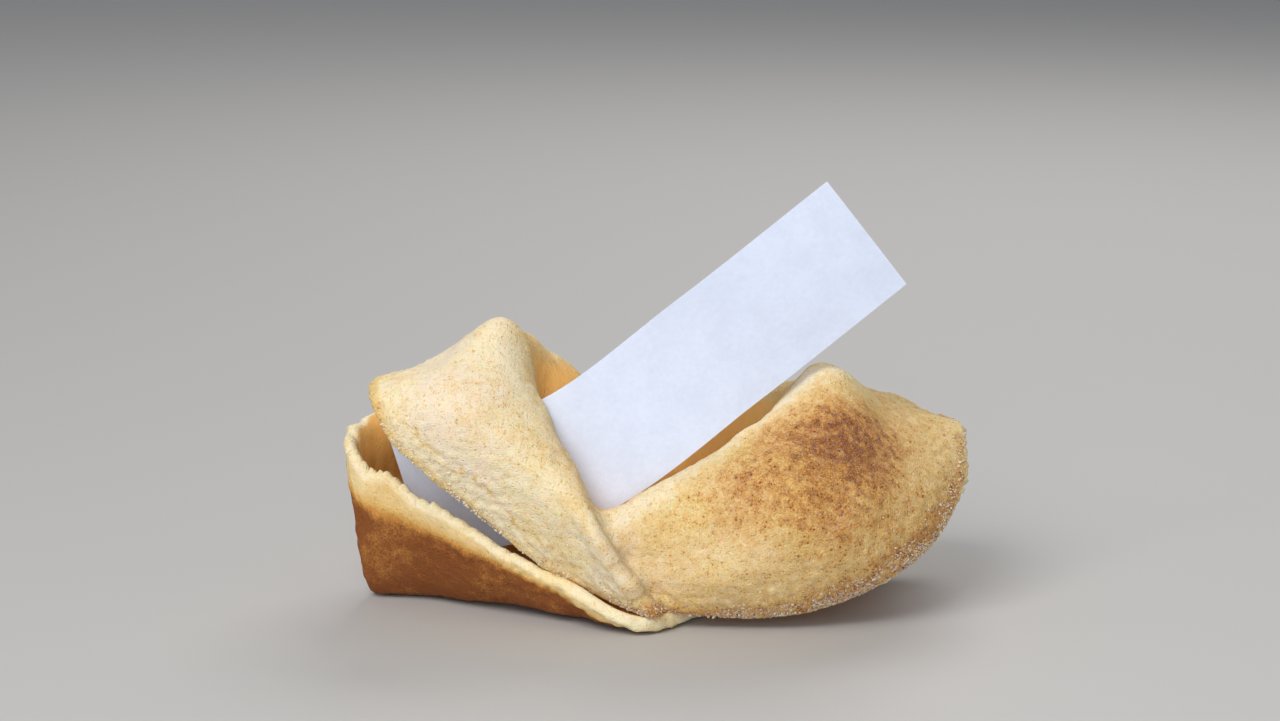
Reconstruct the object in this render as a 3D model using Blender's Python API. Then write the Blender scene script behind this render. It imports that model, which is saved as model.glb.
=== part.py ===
"""A fortune cookie with its slip of paper: a thin baked round folded in half, then dented across
the fold, so that two hollow lobes stand either side of a valley. Metres, +Z up, front at -Y."""

import math

import bpy
import numpy as np

MM = 0.001
SEED = 7

# The baked round, in millimetres, before it is folded
ROUND_RADIUS = 42.0
WAFER_THICKNESS = 1.8
RIM_THICKNESS = 1.6
RIM_TAPER_WIDTH = 5.0
LIP_ROUNDING = 0.35
RAGGED_DEPTH = 0.25
RAGGED_WAVES = (9, 17, 31, 43)
SWELL_HEIGHT = 0.04
SWELL_WAVES = 8
SWELL_LENGTHS = (5.0, 12.0)
ROUND_RINGS = 29

# The dent: where it starts along the fold, and how far its two rims reach across the round
DENT_HALF_LENGTH = 25.0
DENT_REACH = 19.0

# How far the spline may miss a landmark to stay smooth, how softly the base meets the table, and
# the step that slopes are measured over
SPLINE_EASE = 0.3
BASE_SOFTNESS = 0.5
NORMAL_STEP = 1.0

# The slip of paper
SLIP_WIDTH = 14.6
SLIP_THICKNESS = 0.3
SLIP_ROWS = 44
SLIP_COLUMNS = 5
SLOT_CLEARANCE = 0.45
SLOT_SPAN = (0.20, 0.52)

# Landmarks in millimetres. Each guide is a line on the flat round, and says where places along it
# end up once folded. Upper means the layer that faces the front, lower the one it rests on.
# The free edge of the upper layer and of the lower one, by angle on the round
UPPER_EDGE = {
    166: (-28.8, -4.0, 25.0),
    153: (-29.4, -12.0, 24.7),
    145: (-27.3, -13.6, 20.8),
    137: (-23.7, -14.3, 17.5),
    122: (-16.0, -15.0, 11.2),
    112: (-10.9, -15.8, 7.3),
    101: (-4.4, -17.5, 4.2),
    90: (1.7, -20.6, 2.4),
    85: (1.3, -18.3, 2.3),
    79: (8.0, -18.0, 1.8),
    60: (21.5, -18.0, 3.5),
    40: (32.0, -14.5, 9.2),
    18: (36.5, -1.0, 18.0),
    0: (34.5, 9.0, 16.0),
}
LOWER_EDGE = {
    180: (-27.5, 5.0, 21.5),
    190: (-30.5, 4.0, 19.0),
    200: (-32.5, 0.0, 18.2),
    212: (-33.0, -4.5, 17.6),
    228: (-26.9, -9.8, 13.1),
    242: (-18.4, -13.6, 9.3),
    257: (-9.1, -17.3, 5.0),
    270: (0.6, -21.0, 0.9),
    282: (8.0, -13.0, 0.9),
    315: (26.0, 1.0, 1.8),
    330: (32.0, 5.5, 4.5),
}
# The fold line, by distance from its middle, outside the dent and down inside it
FOLD_LINE = {
    -35: (-22.0, 1.5, 25.9),
    -29: (-17.0, -2.0, 30.4),
    -25: (-14.5, -5.0, 31.0),
    -18: (-11.5, -6.0, 21.0),
    -10: (-6.5, -7.5, 12.5),
    0: (1.5, -8.0, 7.0),
    10: (8.0, -7.0, 11.5),
    18: (14.5, -5.5, 18.0),
    25: (20.0, -4.5, 26.2),
    30: (24.3, 0.5, 23.0),
    36: (30.0, 5.0, 20.3),
}
# The front and the back rim of the dent, by distance along the fold
FRONT_RIM = {
    -22: (-13.5, -8.0, 28.5),
    -18: (-11.8, -11.5, 24.0),
    -10: (-8.2, -17.0, 18.0),
    0: (-5.1, -20.3, 12.3),
    3: (-3.8, -18.5, 11.4),
    6: (0.0, -17.6, 13.5),
    10: (3.8, -16.4, 15.8),
    18: (11.6, -11.3, 19.8),
    22: (16.1, -8.3, 22.5),
}
BACK_RIM = {
    -22: (-13.0, -1.8, 29.0),
    -18: (-10.8, 0.5, 26.0),
    -10: (-4.0, 4.8, 16.5),
    0: (3.0, 8.0, 10.0),
    10: (8.2, 6.3, 15.0),
    18: (14.5, 3.0, 22.0),
}
# Places on the two layers between their edges and the rims, by place on the round
UPPER_LAYER = {
    (-30, 7): (-21.5, -6.0, 27.4),
    (-25, 5): (-16.0, -8.5, 31.5),
    (-23, 19): (-19.5, -17.0, 25.0),
    (-9, 30): (-6.5, -20.0, 11.0),
    (-7, 9): (-7.0, -14.5, 14.0),
    (0, 26): (-3.1, -21.1, 8.8),
    (0, 34): (-0.7, -21.0, 5.6),
    (2.8, 26): (-3.0, -18.4, 8.2),
    (3, 34): (-0.4, -18.3, 4.6),
    (6, 25): (1.4, -18.7, 9.5),
    (6.5, 33): (3.8, -18.9, 5.1),
    (10, 32): (8.0, -20.5, 6.5),
    (20, 20): (17.5, -20.5, 16.0),
    (25, 5): (20.8, -8.0, 26.0),
    (30, 12): (27.5, -12.0, 18.2),
    (31, 6): (26.2, -5.2, 21.8),
    (34, 8): (29.6, -4.1, 19.7),
}
LOWER_LAYER = {
    (-8, -33): (-8.5, -13.0, 0.9),
    (-17, -29): (-17.5, -8.0, 0.5),
    (-27, -22): (-29.9, -4.5, 0.5),
    (-32, -19): (-31.0, -5.5, 8.5),
    (-13, -20): (-12.0, 7.0, 8.0),
    (-20, -20): (-22.0, 4.0, 2.0),
    (-27, -8): (-23.5, 8.0, 18.5),
    (10, -30): (10.0, -4.0, 0.9),
    (22, -22): (21.0, 4.0, 2.0),
    (12, -20): (11.0, 8.0, 6.0),
    (30, -10): (28.0, 10.5, 16.0),
}

# The middle of the slip, from its end in the left lobe to its free end, and the way across it
SLIP_MIDDLE = ((-26.3, -3.8, 11.0), (-8.1, -11.3, 17.6), (8.6, -9.1, 29.5), (25.4, -5.5, 42.3))
SLIP_ACROSS = ((0.35, -0.1, -0.93), (0.56, -0.24, -0.79), (0.6, -0.12, -0.79), (0.61, -0.1, -0.79))

COOKIE_COLOUR = (0.78, 0.53, 0.26, 1.0)
COOKIE_ROUGHNESS = 0.7
PAPER_COLOUR = (0.80, 0.82, 0.90, 1.0)
PAPER_ROUGHNESS = 0.6


def clear_scene():
    for item in list(bpy.data.objects):
        bpy.data.objects.remove(item)


def rim_place(along, side):
    """The place on the flat round of a dent rim: a parabola from one dent end to the other."""
    reach = DENT_REACH * (1.0 - (along / DENT_HALF_LENGTH) ** 2)
    return along, side * reach


def landmarks():
    """Every guide as places on the flat round and the places in space where they end up."""
    pairs = []
    for edge in (UPPER_EDGE, LOWER_EDGE):
        for angle, place in edge.items():
            turn = math.radians(angle)
            pairs.append(((ROUND_RADIUS * math.cos(turn), ROUND_RADIUS * math.sin(turn)), place))
    pairs += [((along, 0.0), place) for along, place in FOLD_LINE.items()]
    pairs += [(rim_place(along, 1.0), place) for along, place in FRONT_RIM.items()]
    pairs += [(rim_place(along, -1.0), place) for along, place in BACK_RIM.items()]
    pairs += list(UPPER_LAYER.items()) + list(LOWER_LAYER.items())
    flat = np.array([pair[0] for pair in pairs], float)
    folded = np.array([pair[1] for pair in pairs], float)
    return flat, folded


def bending(offsets):
    """The thin-plate kernel, r squared times log r, of each offset in the plane."""
    squared = (offsets**2).sum(axis=-1)
    return 0.5 * squared * np.log(np.maximum(squared, 1e-12))


class Fold:
    """The map from the flat round to the folded one: the smoothest sheet through the landmarks."""

    def __init__(self):
        self.flat, folded = landmarks()
        count = len(self.flat)
        kernel = bending(self.flat[:, None] - self.flat[None]) + SPLINE_EASE * np.eye(count)
        plane = np.column_stack([np.ones(count), self.flat])
        system = np.block([[kernel, plane], [plane.T, np.zeros((3, 3))]])
        solved = np.linalg.solve(system, np.vstack([folded, np.zeros((3, 3))]))
        self.bends = solved[:count]
        self.tilt = solved[count:]

    def middle(self, places):
        """The middle of the wafer, kept half a thickness above the table by a soft floor."""
        plane = np.column_stack([np.ones(len(places)), places])
        points = bending(places[:, None] - self.flat[None]) @ self.bends + plane @ self.tilt
        height = (points[:, 2] - WAFER_THICKNESS / 2) / BASE_SOFTNESS
        points[:, 2] = WAFER_THICKNESS / 2 + BASE_SOFTNESS * np.logaddexp(0.0, height)
        return points

    def outward(self, places):
        """The direction out of the folded round, from the slopes of the map."""
        step = NORMAL_STEP
        along = self.middle(places + [step, 0.0]) - self.middle(places - [step, 0.0])
        across = self.middle(places + [0.0, step]) - self.middle(places - [0.0, step])
        normal = np.cross(across, along)
        return normal / np.linalg.norm(normal, axis=1, keepdims=True)


def flat_round(rings):
    """Rings of points on a round of radius 1, six more on each ring, and the triangles between."""
    points = [(0.0, 0.0)]
    starts = [0]
    for ring in range(1, rings + 1):
        starts.append(len(points))
        turns = 2 * math.pi * np.arange(6 * ring) / (6 * ring)
        points += list(zip(ring / rings * np.cos(turns), ring / rings * np.sin(turns)))
    faces = []
    for ring in range(1, rings + 1):
        outer, inner = 6 * ring, max(6 * (ring - 1), 1)
        for sector in range(6):
            for step in range(ring):
                first = starts[ring] + (sector * ring + step) % outer
                second = starts[ring] + (sector * ring + step + 1) % outer
                third = starts[ring - 1] + (sector * (ring - 1) + step) % inner
                faces.append((third, first, second))
                if step < ring - 1:
                    fourth = starts[ring - 1] + (sector * (ring - 1) + step + 1) % inner
                    faces.append((third, second, fourth))
    return np.array(points), np.array(faces), starts[rings]


def ragged_radius(turns, rng):
    """The radius of the round at each angle, with the small bites and tongues of a baked edge."""
    radius = np.full(len(turns), ROUND_RADIUS)
    for waves in RAGGED_WAVES:
        depth = RAGGED_DEPTH * math.sqrt(RAGGED_WAVES[0] / waves)
        radius += depth * np.sin(waves * turns + rng.uniform(0, 2 * math.pi))
    return radius


def swell(places, rng):
    """Low waves that keep the baked faces from being perfectly even."""
    height = np.zeros(len(places))
    for _ in range(SWELL_WAVES):
        direction = rng.uniform(0, 2 * math.pi)
        wave = 2 * math.pi / rng.uniform(*SWELL_LENGTHS)
        phase = rng.uniform(0, 2 * math.pi)
        along = places[:, 0] * math.cos(direction) + places[:, 1] * math.sin(direction)
        height += np.sin(wave * along + phase)
    return SWELL_HEIGHT * height


def make_object(name, points, faces, colour, roughness):
    mesh = bpy.data.meshes.new(name)
    mesh.from_pydata((points * MM).tolist(), [], faces.tolist())
    mesh.shade_smooth()
    material = bpy.data.materials.new(name)
    material.use_nodes = True
    shader = material.node_tree.nodes["Principled BSDF"]
    shader.inputs["Base Color"].default_value = colour
    shader.inputs["Roughness"].default_value = roughness
    mesh.materials.append(material)
    item = bpy.data.objects.new(name, mesh)
    bpy.context.scene.collection.objects.link(item)
    return item


def wafer_shell(fold):
    """The two faces of the folded wafer and the rounded edge that joins them."""
    rng = np.random.default_rng(SEED)
    unit, faces, rim_start = flat_round(ROUND_RINGS)
    places = unit * ragged_radius(np.arctan2(unit[:, 1], unit[:, 0]), rng)[:, None]
    inset = ROUND_RADIUS * (1.0 - np.linalg.norm(unit, axis=1))
    taper = np.clip(inset / RIM_TAPER_WIDTH, 0.0, 1.0)
    half = (RIM_THICKNESS + (WAFER_THICKNESS - RIM_THICKNESS) * taper) / 2
    middle = fold.middle(places)
    outward = fold.outward(places)
    outer = middle + outward * (half + swell(places, rng))[:, None]
    inner = middle - outward * half[:, None]
    outer[:, 2] = np.maximum(outer[:, 2], 0.0)
    inner[:, 2] = np.maximum(inner[:, 2], 0.0)
    rim = places[rim_start:]
    edge = fold.middle(rim * (1.0 + LIP_ROUNDING * RIM_THICKNESS / ROUND_RADIUS))
    count, ring = len(places), len(rim)
    here = np.arange(ring)
    there = (here + 1) % ring
    top, bottom, lip = rim_start, count + rim_start, 2 * count
    bands = []
    for low, high in ((top, lip), (lip, bottom)):
        bands.append(np.column_stack([low + here, high + there, high + here]))
        bands.append(np.column_stack([low + here, low + there, high + there]))
    points = np.vstack([outer, inner, edge])
    return points, np.vstack([faces[:, ::-1], faces + count] + bands)


def path_at(knots, spots):
    """A smooth curve through evenly spaced knots (Catmull-Rom), read at spots from 0 to 1."""
    knots = np.array(knots, float)
    padded = np.vstack([2 * knots[0] - knots[1], knots, 2 * knots[-1] - knots[-2]])
    reach = np.clip(spots, 0.0, 1.0) * (len(knots) - 1)
    start = np.minimum(reach.astype(int), len(knots) - 2)
    part = (reach - start)[:, None]
    before, here, there, after = (padded[start + step] for step in range(4))
    bend = 2 * before - 5 * here + 4 * there - after
    twist = 3 * here - before - 3 * there + after
    return 0.5 * (2 * here + (there - before) * part + bend * part**2 + twist * part**3)


def paper_strip(spots, width, thickness):
    """A closed strip of paper between the spots along the slip's path."""
    middle = path_at(SLIP_MIDDLE, spots)
    along = np.gradient(middle, axis=0)
    along /= np.linalg.norm(along, axis=1, keepdims=True)
    across = path_at(SLIP_ACROSS, spots)
    across -= (across * along).sum(axis=1, keepdims=True) * along
    across /= np.linalg.norm(across, axis=1, keepdims=True)
    facing = np.cross(along, across)
    columns = np.linspace(-0.5, 0.5, SLIP_COLUMNS) * width
    sheet = middle[:, None] + across[:, None] * columns[None, :, None]
    front = sheet + facing[:, None] * thickness / 2
    back = sheet - facing[:, None] * thickness / 2
    rows, count = len(spots), len(spots) * SLIP_COLUMNS
    index = np.arange(count).reshape(rows, SLIP_COLUMNS)
    corner = index[:-1, :-1].ravel()
    quads = np.column_stack([corner, corner + SLIP_COLUMNS, corner + SLIP_COLUMNS + 1, corner + 1])
    border = np.concatenate([index[0], index[1:, -1], index[-1, -2::-1], index[-2:0:-1, 0]])
    following = np.roll(border, -1)
    sides = np.column_stack([border, following, following + count, border + count])
    faces = np.vstack([quads, quads[:, ::-1] + count, sides])
    return np.vstack([front.reshape(-1, 3), back.reshape(-1, 3)]), faces


def build():
    clear_scene()
    fold = Fold()
    wafer = wafer_shell(fold)
    slip = paper_strip(np.linspace(0.0, 1.0, SLIP_ROWS), SLIP_WIDTH, SLIP_THICKNESS)
    slot = paper_strip(
        np.linspace(*SLOT_SPAN, SLIP_ROWS // 2),
        SLIP_WIDTH + 2 * SLOT_CLEARANCE,
        SLIP_THICKNESS + 2 * SLOT_CLEARANCE,
    )
    everything = np.vstack([wafer[0], slip[0]])
    low, high = everything.min(axis=0), everything.max(axis=0)
    base = np.array([(low[0] + high[0]) / 2, (low[1] + high[1]) / 2, low[2]])
    cookie = make_object("cookie", wafer[0] - base, wafer[1], COOKIE_COLOUR, COOKIE_ROUGHNESS)
    make_object("paper_slip", slip[0] - base, slip[1], PAPER_COLOUR, PAPER_ROUGHNESS)
    cutter = make_object("slip_slot", slot[0] - base, slot[1], PAPER_COLOUR, PAPER_ROUGHNESS)
    cutter.hide_render = True
    cutter.display_type = "WIRE"
    cut = cookie.modifiers.new("slip_slot", "BOOLEAN")
    cut.operation = "DIFFERENCE"
    cut.object = cutter


build()
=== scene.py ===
"""The looks of the fortune cookie: the golden wafer with its pores and crumbly free edge, the crumbs
that cling to it, the slip of paper and the stage. Metres, +Z up, front at -Y."""

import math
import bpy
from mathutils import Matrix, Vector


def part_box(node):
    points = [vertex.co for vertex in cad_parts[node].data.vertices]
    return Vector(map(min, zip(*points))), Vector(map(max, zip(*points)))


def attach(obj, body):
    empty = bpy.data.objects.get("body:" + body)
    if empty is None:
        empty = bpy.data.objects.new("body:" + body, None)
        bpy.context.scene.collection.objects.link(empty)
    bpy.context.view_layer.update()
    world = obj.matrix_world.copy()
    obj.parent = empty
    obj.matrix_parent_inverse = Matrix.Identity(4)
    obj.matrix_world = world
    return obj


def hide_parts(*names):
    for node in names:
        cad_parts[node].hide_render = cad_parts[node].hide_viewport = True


bl_info = {
    "name": "Fortune Cookie",
    "version": (1, 0, 0),
    "blender": (4, 5, 0),
    "location": "3D View > Sidebar > Fortune Cookie",
    "description": "Makes the wafer, its crumbs, the paper slip and the stage",
    "category": "Object",
}

import bpy
import numpy as np
from bpy.props import FloatProperty, FloatVectorProperty, IntProperty, PointerProperty
from bpy.types import Operator, Panel, PropertyGroup
from mathutils import Vector

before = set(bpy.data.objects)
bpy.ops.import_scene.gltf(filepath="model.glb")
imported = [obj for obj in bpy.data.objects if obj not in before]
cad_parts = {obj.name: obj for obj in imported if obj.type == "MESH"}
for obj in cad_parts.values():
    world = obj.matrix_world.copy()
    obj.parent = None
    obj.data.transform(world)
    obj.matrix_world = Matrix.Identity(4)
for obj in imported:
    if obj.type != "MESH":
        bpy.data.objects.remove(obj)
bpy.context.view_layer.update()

MM = 0.001
SEED = 7

# The baked round, in millimetres, before it is folded
ROUND_RADIUS = 42.0
RIM_TAPER_WIDTH = 5.0
RAGGED_WAVES = (9, 17, 31, 43)
DENT_HALF_LENGTH = 25.0
DENT_REACH = 19.0
SPLINE_EASE = 0.3
BASE_SOFTNESS = 0.5
NORMAL_STEP = 1.0
EDGE_LOOPS = 5

# Where lines on the flat round end up once folded, in millimetres, as in the part's source
UPPER_EDGE = {
    166: (-28.8, -4.0, 25.0),
    153: (-29.4, -12.0, 24.7),
    145: (-27.3, -13.6, 20.8),
    137: (-23.7, -14.3, 17.5),
    122: (-16.0, -15.0, 11.2),
    112: (-10.9, -15.8, 7.3),
    101: (-4.4, -17.5, 4.2),
    90: (1.7, -20.6, 2.4),
    85: (1.3, -18.3, 2.3),
    79: (8.0, -18.0, 1.8),
    60: (21.5, -18.0, 3.5),
    40: (32.0, -14.5, 9.2),
    18: (36.5, -1.0, 18.0),
    0: (34.5, 9.0, 16.0),
}
LOWER_EDGE = {
    180: (-27.5, 5.0, 21.5),
    190: (-30.5, 4.0, 19.0),
    200: (-32.5, 0.0, 18.2),
    212: (-33.0, -4.5, 17.6),
    228: (-26.9, -9.8, 13.1),
    242: (-18.4, -13.6, 9.3),
    257: (-9.1, -17.3, 5.0),
    270: (0.6, -21.0, 0.9),
    282: (8.0, -13.0, 0.9),
    315: (26.0, 1.0, 1.8),
    330: (32.0, 5.5, 4.5),
}
FOLD_LINE = {
    -35: (-22.0, 1.5, 25.9),
    -29: (-17.0, -2.0, 30.4),
    -25: (-14.5, -5.0, 31.0),
    -18: (-11.5, -6.0, 21.0),
    -10: (-6.5, -7.5, 12.5),
    0: (1.5, -8.0, 7.0),
    10: (8.0, -7.0, 11.5),
    18: (14.5, -5.5, 18.0),
    25: (20.0, -4.5, 26.2),
    30: (24.3, 0.5, 23.0),
    36: (30.0, 5.0, 20.3),
}
FRONT_RIM = {
    -22: (-13.5, -8.0, 28.5),
    -18: (-11.8, -11.5, 24.0),
    -10: (-8.2, -17.0, 18.0),
    0: (-5.1, -20.3, 12.3),
    3: (-3.8, -18.5, 11.4),
    6: (0.0, -17.6, 13.5),
    10: (3.8, -16.4, 15.8),
    18: (11.6, -11.3, 19.8),
    22: (16.1, -8.3, 22.5),
}
BACK_RIM = {
    -22: (-13.0, -1.8, 29.0),
    -18: (-10.8, 0.5, 26.0),
    -10: (-4.0, 4.8, 16.5),
    0: (3.0, 8.0, 10.0),
    10: (8.2, 6.3, 15.0),
    18: (14.5, 3.0, 22.0),
}
UPPER_LAYER = {
    (-30, 7): (-21.5, -6.0, 27.4),
    (-25, 5): (-16.0, -8.5, 31.5),
    (-23, 19): (-19.5, -17.0, 25.0),
    (-9, 30): (-6.5, -20.0, 11.0),
    (-7, 9): (-7.0, -14.5, 14.0),
    (0, 26): (-3.1, -21.1, 8.8),
    (0, 34): (-0.7, -21.0, 5.6),
    (2.8, 26): (-3.0, -18.4, 8.2),
    (3, 34): (-0.4, -18.3, 4.6),
    (6, 25): (1.4, -18.7, 9.5),
    (6.5, 33): (3.8, -18.9, 5.1),
    (10, 32): (8.0, -20.5, 6.5),
    (20, 20): (17.5, -20.5, 16.0),
    (25, 5): (20.8, -8.0, 26.0),
    (30, 12): (27.5, -12.0, 18.2),
    (31, 6): (26.2, -5.2, 21.8),
    (34, 8): (29.6, -4.1, 19.7),
}
LOWER_LAYER = {
    (-8, -33): (-8.5, -13.0, 0.9),
    (-17, -29): (-17.5, -8.0, 0.5),
    (-27, -22): (-29.9, -4.5, 0.5),
    (-32, -19): (-31.0, -5.5, 8.5),
    (-13, -20): (-12.0, 7.0, 8.0),
    (-20, -20): (-22.0, 4.0, 2.0),
    (-27, -8): (-23.5, 8.0, 18.5),
    (10, -30): (10.0, -4.0, 0.9),
    (22, -22): (21.0, 4.0, 2.0),
    (12, -20): (11.0, 8.0, 6.0),
    (30, -10): (28.0, 10.5, 16.0),
}

# The middle of the slip, from its end in the left lobe to its free end, and the way across it
SLIP_MIDDLE = ((-26.3, -3.8, 11.0), (-8.1, -11.3, 17.6), (8.6, -9.1, 29.5), (25.4, -5.5, 42.3))
SLIP_ACROSS = (
    (0.35, -0.1, -0.93),
    (0.56, -0.24, -0.79),
    (0.6, -0.12, -0.79),
    (0.61, -0.1, -0.79),
)
SLIP_ROWS = 161
SLIP_COLUMNS = 33
SLIP_FLAT_SIZE = (60.0, 15.0)
SLIP_SHARP_ANGLE = math.radians(40)

# Baked and pale spots on the flat round: the place, the reach, and what is added in the middle
RIGHT_WALL_SPOTS = (
    ((27.0, 11.5), 6.0, 0.46),
    ((21.0, 20.0), 10.0, 0.32),
    ((33.0, 16.0), 6.0, -0.10),
    ((8.0, 28.0), 8.0, -0.14),
)
LEFT_WALL_SPOTS = (((-12.0, 20.0), 8.0, 0.10),)
# Painted light: the first front spot is a painted highlight on the right lobe's peak, the second painted
# shade on the tip of the left front wall.
FRONT_PAINTED_LIGHT_SPOTS = (((25.0, 3.0), 5.5, -0.42), ((-1.0, 41.0), 4.0, 0.25))
BACK_SPOTS = (((-32.0, -6.0), 7.0, -0.3),)

# The torn line beside the left front wall's free edge: its depth in heights of the relief, how much
# deeper it is baked, and the angles round the edge between which it fades in and out
TORN_DEPTH = 1.8
TORN_BAKE = 0.38
TORN_START = (math.radians(96), math.radians(104))
TORN_END = (math.radians(152), math.radians(142))

# Crumbs gather round these angles of the free edge, in degrees, each with its share of them. The
# spread is in radians, and the distances from the edge are in millimetres.
CRUMB_STRETCHES = {28: 0.18, 55: 0.34, 76: 0.30, 125: 0.12, 320: 0.06}
CRUMB_SPREAD = 0.4
CRUMB_FACE_SHARE = 0.55
CRUMB_FALLOFF = 1.3
CRUMB_FARTHEST = 8.0
LEFT_WALL_START = math.radians(95)

# Linear colours: sugar, whose flecks are partly painted glints on the grains, and the two faint casts
# that wander over the wafer
SUGAR_AND_GLINTS = (0.93, 0.86, 0.72, 1.0)
ROSY_CAST = (1.0, 0.985, 0.985, 1.0)
YELLOW_CAST = (1.0, 0.995, 0.90, 1.0)

# The camera looks at this place of the folded round, in its millimetres
AIM = (0.0, 0.0, 26.5)
SENSOR_WIDTH = 36.0

# The stage, in metres: half the floor's width, and the place, size and tint of each softbox
FLOOR_REACH = 6.0
SOFTBOXES = {
    "key": ((-0.20, -0.30, 0.42), (0.35, 0.30), (1.0, 0.98, 0.95)),
    "fill": ((-0.05, -0.50, 0.12), (0.3, 0.3), (0.95, 0.97, 1.0)),
    "back": ((0.12, 0.36, 0.34), (0.3, 0.2), (1.0, 0.97, 0.93)),
}
WORLD_COLOUR = (0.80, 0.83, 0.88, 1.0)
WORLD_STRENGTH = 0.35


def length(name, description, default, high=1.0):
    """A length in metres, never negative."""
    return FloatProperty(
        name=name,
        description=description,
        default=default,
        min=0.0,
        max=high,
        unit="LENGTH",
        precision=5,
    )


def colour(name, description, default):
    """A linear colour."""
    return FloatVectorProperty(
        name=name,
        description=description,
        default=default,
        size=3,
        min=0.0,
        max=1.0,
        subtype="COLOR",
    )


def share(name, description, default):
    """A share from 0 to 1."""
    return FloatProperty(
        name=name, description=description, default=default, min=0.0, max=1.0, subtype="FACTOR"
    )


def power(name, description, default):
    """A lamp's power in watts."""
    return FloatProperty(
        name=name, description=description, default=default, min=0.0, unit="POWER"
    )


class FORTUNE_PG_wafer(PropertyGroup):
    """Sizes and colours of the baked wafer."""

    thickness: length("Thickness", "Thickness of the wafer away from its edge", 0.0018)
    rim_thickness: length("Rim thickness", "Thickness of the wafer at its free edge", 0.0016)
    ragged_depth: length("Ragged depth", "How far the free edge wanders in and out", 0.00025)
    crumble_depth: length("Crumble depth", "Size of the small torn crumbs of the free edge", 0.00011)
    relief: length("Relief", "Height of the small bumps of the baked faces", 0.000045)
    rings: IntProperty(name="Rings", description="Rings of points on the round", default=112, min=20)
    cream: colour("Cream", "The palest bake, where the batter stayed thick", (0.92, 0.79, 0.59))
    straw: colour("Straw", "Lightly baked wafer", (0.86, 0.65, 0.345))
    golden: colour("Golden", "Well baked wafer", (0.76, 0.50, 0.19))
    amber: colour("Amber", "Strongly baked wafer and pores", (0.60, 0.28, 0.07))
    # The darkest bake, also deepened as painted shade on the left's lower layer.
    brown: colour("Brown", "The darkest bake", (0.25, 0.08, 0.022))
    # Painted glow: this orange stands in for light shining through the wafer and bouncing inside the
    # lobes; the dent's middle takes it too.
    inside: colour("Lobe inside", "The inner face, which light shines through", (0.92, 0.50, 0.14))
    pore_size: length("Pore size", "Distance between the larger pores", 0.00052)
    grain_size: length("Grain size", "Size of the sugary grain", 0.00022)
    translucency: share("Translucency", "How much light passes under the wafer's face", 0.3)


class FORTUNE_PG_crumbs(PropertyGroup):
    """Sizes and colours of the crumbs that cling to the free edge."""

    count: IntProperty(name="Count", description="Number of crumbs", default=6500, min=0)
    smallest: length("Smallest", "Radius of the smallest crumb", 0.00006)
    largest: length("Largest", "Radius of the largest crumb", 0.00030)
    pale: colour("Pale", "Colour of the palest crumbs and sugar", (0.86, 0.70, 0.50))
    baked: colour("Baked", "Colour of the most baked crumbs", (0.56, 0.27, 0.13))


class FORTUNE_PG_paper(PropertyGroup):
    """Sizes and colours of the slip."""

    width: length("Width", "Width of the slip", 0.0146)
    thickness: length("Thickness", "Thickness of the slip", 0.00026)
    wave: length("Wave", "Height of the slip's faint buckles", 0.00012)
    tone: colour("Paper", "Colour of the paper", (0.67, 0.73, 0.88))
    fibre_size: length("Fibre size", "Length of the paper's fibres", 0.0006)


class FORTUNE_PG_stage(PropertyGroup):
    """The camera, the light and the floor."""

    distance: length("Distance", "From the camera to the cookie", 0.4, high=10.0)
    lens: FloatProperty(
        name="Lens", description="Focal length", default=98.2, min=10.0, unit="CAMERA"
    )
    elevation: FloatProperty(
        name="Elevation",
        description="Height angle of the camera",
        default=math.radians(12.0),
        unit="ROTATION",
    )
    floor: colour("Floor", "Colour of the floor", (0.50, 0.49, 0.48))
    key_power: power("Key power", "Power of the main softbox", 1.95)
    fill_power: power("Fill power", "Power of the front softbox", 0.95)
    back_power: power("Back power", "Power of the rear softbox", 0.9)


def dent_reach(along):
    """Half the dent's width at each place along the fold: a parabola, 0 at both ends of the dent."""
    return DENT_REACH * (1.0 - (along / DENT_HALF_LENGTH) ** 2)


def landmarks():
    """Every guide as places on the flat round and the places in space where they end up."""
    pairs = []
    for edge in (UPPER_EDGE, LOWER_EDGE):
        for angle, place in edge.items():
            turn = math.radians(angle)
            pairs.append(((ROUND_RADIUS * math.cos(turn), ROUND_RADIUS * math.sin(turn)), place))
    pairs += [((along, 0.0), place) for along, place in FOLD_LINE.items()]
    pairs += [((along, dent_reach(along)), place) for along, place in FRONT_RIM.items()]
    pairs += [((along, -dent_reach(along)), place) for along, place in BACK_RIM.items()]
    pairs += list(UPPER_LAYER.items()) + list(LOWER_LAYER.items())
    flat = np.array([pair[0] for pair in pairs], float)
    folded = np.array([pair[1] for pair in pairs], float)
    return flat, folded


def bending(offsets):
    """The thin-plate kernel, r squared times log r, of each offset in the plane."""
    squared = (offsets**2).sum(axis=-1)
    return 0.5 * squared * np.log(np.maximum(squared, 1e-12))


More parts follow.
